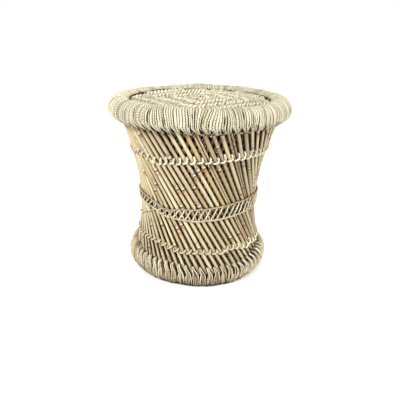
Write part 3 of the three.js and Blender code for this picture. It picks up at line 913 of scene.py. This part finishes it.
def make_edge_loops():
    """Short pale arcs of rope, 1.2 mm below the rim and 2.5 mm out of its middle, with both
    ends 6.5 mm higher and 3.5 mm further in."""
    rng = np.random.default_rng(23)
    phase = np.linspace(-1, 1, 16)
    middle = np.array(EDGE_LOOPS)[:, None] * DEG
    half = rng.uniform(0.022, 0.034, (len(EDGE_LOOPS), 1))
    lean = rng.uniform(-1.2, 1.8, (len(EDGE_LOOPS), 1))
    turn = middle + half * phase
    to_end = np.abs(phase) ** 3
    radius = RIM.radius + 2.5 - 3.5 * to_end
    height = RIM.middle - RIM.half_height - 1.2 + 6.5 * to_end + lean * phase
    path = round_axis(radius, turn, height)
    cords("edge_loops", WOUND, "rim_winding", path, LOOP_ROPE / 2, rng)


make_edge_loops()


def make_grass(name, ring, inset, node):
    """The straw inside a ring, which shows only in the notches: the section's shape, inset,
    with eight lumps that run round the ring, half a millimetre high."""
    rng = np.random.default_rng(22)
    around = circle(240)[:, None]
    angle = circle(24)[None]
    lumps = 0.5 * np.cos(8 * angle + ripple(rng, around, (3, 5, 9), 0.5))
    width = ring.half_width - inset + lumps
    tall = ring.half_height - inset + lumps
    radius = ring.radius + width * np.cos(angle)
    height = ring.middle + tall * np.sin(angle) + at_turn(ring.stray, around)
    piece = strips(name, round_axis(radius, around, height)[None], {}, closed=True)
    dress(piece, GRASS_FINISH, "grass_bundle", node)


make_grass("base_grass", BASE, 12.0, "base_bundle")
make_grass("rim_grass", RIM, 6.0, "rim_bundle")


# Lashings: the share of a stitch over its reed, from where to where in pitches, and how deep
# its ends are tucked in and it goes behind
STITCH_STEPS = 28
STITCH_OVER = 0.68
STITCH_LEFT, STITCH_RIGHT = -0.52, 0.45
STITCH_TUCK, STITCH_BEHIND = 2.8, 8.5


def make_lashing(name, node, height, strayed, stitches, seed):
    """One cord round the stool. It crosses each outer reed from the left, bends up along its
    right side, dives between two reeds and comes back low behind the next one. It climbs from
    half its rise below the level to its whole rise above."""
    rng = np.random.default_rng(seed)
    phase = np.tile(np.arange(STITCH_STEPS) / STITCH_STEPS, REEDS)
    reed = np.repeat(np.arange(REEDS), STITCH_STEPS)
    front = phase < STITCH_OVER
    climb = np.clip(phase / STITCH_OVER, 0, 1)
    back = smooth(phase, STITCH_OVER, 1.0)
    rise, bow, tone = (at_turn(stitches[key], reed * PITCH) for key in ("rise", "bow", "tone"))
    run = 1 - (1 - climb) ** (0.5 + 0.5 * bow)
    over = STITCH_RIGHT - STITCH_LEFT
    across = np.where(front, STITCH_LEFT + over * run, STITCH_RIGHT + (1 - over) * back)
    size = np.repeat(rng.uniform(0.75, 1.2, REEDS), STITCH_STEPS) * rise
    lift = size * np.where(front, 1.5 * climb**bow - 0.5, 1 - 1.5 * back)
    level = height + at_turn(strayed, reed * PITCH) + lift
    deep = np.where(front, 0, np.sin(np.pi * back)) ** 0.7 * STITCH_BEHIND
    tucked = np.where(front, np.abs(2 * climb - 1) ** 5, 1)
    reach = REED_FACE + LASHING_CORD / 2
    turn = FIRST_REED + reed_turn(level) + (reed + across) * PITCH
    radius = wall_radius(level) + reach - STITCH_TUCK * tucked - deep
    path = round_axis(radius, turn, level)[None]
    cords(name, TIED, node, path, LASHING_CORD / 2, rng, True, tone=tone[None])


make_lashing("upper_stitches", "upper_lashing", UPPER_LASHING, UPPER_STRAY, UPPER_STITCHES, 31)
make_lashing("lower_stitches", "lower_lashing", LOWER_LASHING, LOWER_STRAY, LOWER_STITCHES, 32)


# Reeds, counted from the front to the right, over which the lacing also crosses back
CROSSED_REEDS = np.array([*range(-8, 2), 9, 18, 24, 30, 37, 45]) % REEDS
# How far off the reeds the cords lie, and more over each; and the lacing, less at its ends
# and for strokes under others
BAND_OFF, BAND_SWELL = 0.6, 0.3
LACING_OFF, LACING_ENDS, LACING_UNDER = 1.0, 2.0, 1.2


def make_waist_band():
    """Two cords round the waist, and over each reed a stroke of lacing, which climbs from the
    lower cord to the upper one on the right. Over the crossed reeds a second stroke lies
    under it and leans the other way."""
    rng = np.random.default_rng(33)
    around = circle(REEDS * 16)
    reach = REED_FACE + BAND_CORD / 2
    low, high = band_levels(around)
    for name, level, tone in (("band_cord_top", high, 0.9), ("band_cord_bottom", low, 0.45)):
        level = level + ripple(rng, around, (8, 13, 21), 0.4)
        radius = wall_radius(level) + reach + BAND_OFF + BAND_SWELL * np.cos(REEDS * around)
        path = round_axis(radius, around, level)[None]
        cords(name, LACED, "waist_band", path, BAND_CORD / 2, rng, True, plies=2,
              lay=BAND_LAY, depth=0.22, tone=np.array([tone]))
    phase = np.linspace(0, 1, 22)
    crossed = CROSSED_REEDS[:, None]
    strokes = REEDS + len(crossed)
    reed = np.concatenate([np.arange(REEDS)[:, None], crossed])
    way = np.concatenate([np.full((REEDS, 1), 1), np.full((len(crossed), 1), -0.8)])
    across = (phase - 0.5) * way * rng.uniform(0.95, 1.2, (strokes, 1))
    across = across + rng.uniform(-0.08, 0.08, (strokes, 1))
    turn = FIRST_REED + (reed + across) * PITCH
    low, high = band_levels(turn)
    level = low + (high - low) * phase
    ends = np.abs(2 * phase - 1) ** 6
    radius = wall_radius(level) + reach + LACING_OFF - LACING_ENDS * ends
    radius = radius - LACING_UNDER * (way < 0) * (1 - ends)
    path = round_axis(radius, turn, level)
    # Strokes under the others are darker with painted shade
    tone = np.where(way[:, 0] > 0, 0.05, 0.6) + rng.uniform(0, 0.4, strokes)
    cords("band_lacing", LACED, "waist_band", path, LACING_CORD / 2, rng, plies=2,
          lay=LACING_LAY, tone=tone)


# The loose strand from the knot in the waist band, as turns in degrees and heights
LOOSE_STRAND = (
    (-44, 163), (-49, 159), (-54, 155), (-59, 148), (-65, 141), (-72, 135), (-80, 132),
)
# The knot's loops: half their length and width, tilts, and how far off the reeds they lie
KNOT_TURN = -52 * DEG
KNOT_HEIGHT = 162.0
KNOT_LONG, KNOT_WIDE = 6.5, 3.0
KNOT_TILTS = (0.5, 1.6, 2.6)
KNOT_OFF, KNOT_CROSSING = 5.0, 1.6


def make_band_knot():
    """Three loops of cord across each other, each a tilted ellipse, and the strand that leaves
    them to the left."""
    rng = np.random.default_rng(34)
    around = circle(40)
    tilt = np.array(KNOT_TILTS)[:, None]
    along, square = KNOT_LONG * np.cos(around), KNOT_WIDE * np.sin(around)
    shift = along * np.cos(tilt) - square * np.sin(tilt)
    level = KNOT_HEIGHT + along * np.sin(tilt) + square * np.cos(tilt)
    radius = wall_radius(level) + REED_DIAMETER / 2 + KNOT_OFF
    radius = radius + KNOT_CROSSING * np.sin(around + tilt)
    path = round_axis(radius, KNOT_TURN + shift / OUTER_WAIST, level)
    cords("band_knot", TIED, "waist_band", path, BAND_CORD / 2, rng, True)
    turns, heights = np.array(LOOSE_STRAND).T
    turn = np.linspace(turns[0], turns[-1], 60)
    level = np.interp(turn, turns[::-1], heights[::-1])
    path = round_axis(wall_radius(level) + REED_FACE + BAND_CORD / 2, turn * DEG, level)
    cords("band_strand", TIED, "waist_band", path[None], BAND_CORD / 2, rng, tone=np.ones(1))


make_waist_band()
make_band_knot()


# Seat
SEAT_EDGE = 154.0
SEAT_CORNER = -8 * DEG
LARGEST_SQUARE = 113.0
PROUD_SPACING = 7
# The squares' power at the seat's middle and at the largest one
SQUARENESS = (5.5, 10.5)
# Rise of proud ropes above the CAD's seat, fall to its edge and right at it, dip of the ends
SEAT_LIFT = 0.8
SEAT_FALL, SEAT_BRIM = 4.0, 1.6
END_DIP = 4.0
SEAT_TWIST = {"sides": 8, "plies": 2, "lay": SEAT_LAY, "depth": 0.24}
SMALL_SQUARES = 10
SMALL_STEPS, LARGE_STEPS, SIDE_STEPS = 340, 560, 150
BACKING_DEPTH, BACKING = 10.8, 2.0


def is_proud(rows):
    """One rope in seven is thicker and lies on top of the others."""
    return rows % PROUD_SPACING == PROUD_SPACING // 2


def seat_level(from_axis, rows):
    """Height of a rope's middle: the seat rises towards its own middle."""
    over = np.where(is_proud(rows), SEAT_ROPE / 2, 0)
    outward = np.clip(from_axis / SEAT_EDGE, 0, 1)
    fall = SEAT_FALL * outward**2 + SEAT_BRIM * outward**8
    return SEAT_TOP - PROUD_ROPE + SEAT_LIFT - fall + over


def seat_look(rows, rng):
    """Radius and tone of each rope. Beside a proud rope the ropes are dark with painted shadow.
    """
    radius = np.where(is_proud(rows), PROUD_ROPE, SEAT_ROPE) / 2
    beside = is_proud(rows - 1) | is_proud(rows + 1)
    # Painted shadow: dark ropes beside each proud one
    tone = np.where(is_proud(rows), 0.0, np.where(beside, 0.95, 0.35))
    return radius[:, None], np.clip(tone + rng.uniform(-0.2, 0.2, len(rows)), 0, 1)


def seat_squares(name, rows, steps, rng):
    """Closed ropes in rounded squares, which are superellipses: at the angle a the radius is
    half / (|cos a|^n + |sin a|^n)^(1/n)."""
    angle = circle(steps)
    half = SEAT_ROPE * (rows[:, None] + 0.5)
    power = np.interp(half, (0, LARGEST_SQUARE), SQUARENESS)
    form = np.abs(np.cos(angle)) ** power + np.abs(np.sin(angle)) ** power
    waver = 0.6 * np.cos(5 * angle + rng.uniform(0, FULL, (len(rows), 1)))
    waver = waver + 0.5 * np.cos(13 * angle + rng.uniform(0, FULL, (len(rows), 1)))
    radius = (half + waver) * form ** (-1 / power)
    turned = angle + SEAT_CORNER + FULL / 8
    level = seat_level(radius, rows[:, None]) + rng.uniform(-0.3, 0.3, (len(rows), 1))
    path = stacked(radius * np.cos(turned), radius * np.sin(turned), level)
    thick, tone = seat_look(rows, rng)
    cords(name, WOVEN, "seat_weave", path, thick, rng, True, tone=tone, **SEAT_TWIST)


def seat_sides(rows, rng):
    """Outside the largest square each side goes on as straight ropes that dip at the rim."""
    half = SEAT_ROPE * (rows[:, None] + 0.5)
    reach = np.sqrt(SEAT_EDGE**2 - half**2)
    along = np.linspace(-1, 1, SIDE_STEPS) * reach
    paths = []
    for side in range(4):
        facing = SEAT_CORNER + FULL / 8 + side * FULL / 4
        x = half * np.cos(facing) - along * np.sin(facing)
        y = half * np.sin(facing) + along * np.cos(facing)
        level = seat_level(np.hypot(x, y), rows[:, None])
        level = level - np.clip(np.abs(along) - reach + END_DIP, 0, END_DIP)
        paths.append(stacked(x, y, level))
    path = np.concatenate(paths)
    thick, tone = seat_look(np.tile(rows, 4), rng)
    cords("seat_side_ropes", WOVEN, "seat_weave", path, thick, rng, tone=tone, **SEAT_TWIST)


def make_seat():
    rng = np.random.default_rng(41)
    squares = int(LARGEST_SQUARE / SEAT_ROPE)
    seat_squares("seat_ropes_inner", np.arange(SMALL_SQUARES), SMALL_STEPS, rng)
    seat_squares("seat_ropes_outer", np.arange(SMALL_SQUARES, squares), LARGE_STEPS, rng)
    seat_sides(np.arange(squares, int(SEAT_EDGE / SEAT_ROPE)), rng)
    # A sheet under the ropes in the grass finish, whose dark is painted shade
    around = circle(64)[:, None]
    radius = np.array([1.0, SEAT_EDGE, SEAT_EDGE, 1.0])
    height = SEAT_TOP - BACKING_DEPTH - np.array([0.0, 0.0, BACKING, BACKING])
    sheet = round_axis(radius, around, height)[None]
    backing = strips("seat_backing", sheet, {}, closed=True)
    dress(backing, GRASS_FINISH, "seat_rope", "seat_weave")


make_seat()


# Studio
FLOOR_HALF = 6000.0


def make_floor():
    """A pale floor that the camera sees as white, apart from the stool's shadow. Its glow is
    for the camera only, nothing under the stool, and grows with the distance."""
    sides = ((-1, -1), (1, -1), (1, 1), (-1, 1))
    corners = [(x * FLOOR_HALF * MM, y * FLOOR_HALF * MM, 0) for x, y in sides]
    mesh = bpy.data.meshes.new("floor")
    mesh.from_pydata(corners, [], [(0, 1, 2, 3)])
    floor = put_object("floor", mesh)
    f = Finish(bpy.data.materials.new("floor_paint"))
    seen = f.node("ShaderNodeLightPath", {}, "Is Camera Ray")
    spot = f.node("ShaderNodeTexCoord", {}, "Object")
    away = f.node("ShaderNodeVectorMath", {0: spot}, "Value", operation="LENGTH")
    glow = seen * (away.step(0.13, 0.165) * 0.7 + away.step(0.165, 0.24) * 0.3)
    paint = f.node("ShaderNodeBsdfDiffuse", {"Color": (0.55, 0.55, 0.55, 1)})
    white = f.node("ShaderNodeEmission", {"Color": (1, 1, 1, 1), "Strength": glow})
    both = f.node("ShaderNodeAddShader", {0: paint, 1: white})
    f.node("ShaderNodeOutputMaterial", {"Surface": both})
    mesh.materials.append(f.owner)


def make_lamp(name, position, width, power):
    """A square soft lamp that faces the middle of the stool; its place and width are metres."""
    data = bpy.data.lights.new(name, "AREA")
    data.energy = power
    data.size = width
    lamp = put_object(name, data)
    lamp.location = position
    aim = Vector((0, 0, 0.2)) - lamp.location
    lamp.rotation_euler = aim.to_track_quat("-Z", "Y").to_euler()


def make_light():
    """Four lamps, and a world that gives little light but looks white to the camera."""
    make_lamp("key", (-1.1, -1.8, 1.75), 0.45, 57)
    make_lamp("fill", (1.9, -1.5, 0.8), 0.9, 57)
    make_lamp("side", (-2.1, -0.8, 0.5), 0.9, 26)
    make_lamp("top", (0.1, 0.5, 2.4), 0.9, 36)
    world = bpy.data.worlds.new("studio")
    bpy.context.scene.world = world
    f = Finish(world)
    seen = f.node("ShaderNodeLightPath", {}, "Is Camera Ray")
    glossy = f.node("ShaderNodeLightPath", {}, "Is Glossy Ray")
    level = seen * 0.85 + glossy * 0.2 + 0.15
    sky = f.node("ShaderNodeBackground", {"Color": (1, 1, 1, 1), "Strength": level})
    f.node("ShaderNodeOutputWorld", {"Surface": sky})


make_floor()
make_light()
bpy.context.scene.view_settings.view_transform = "Standard"
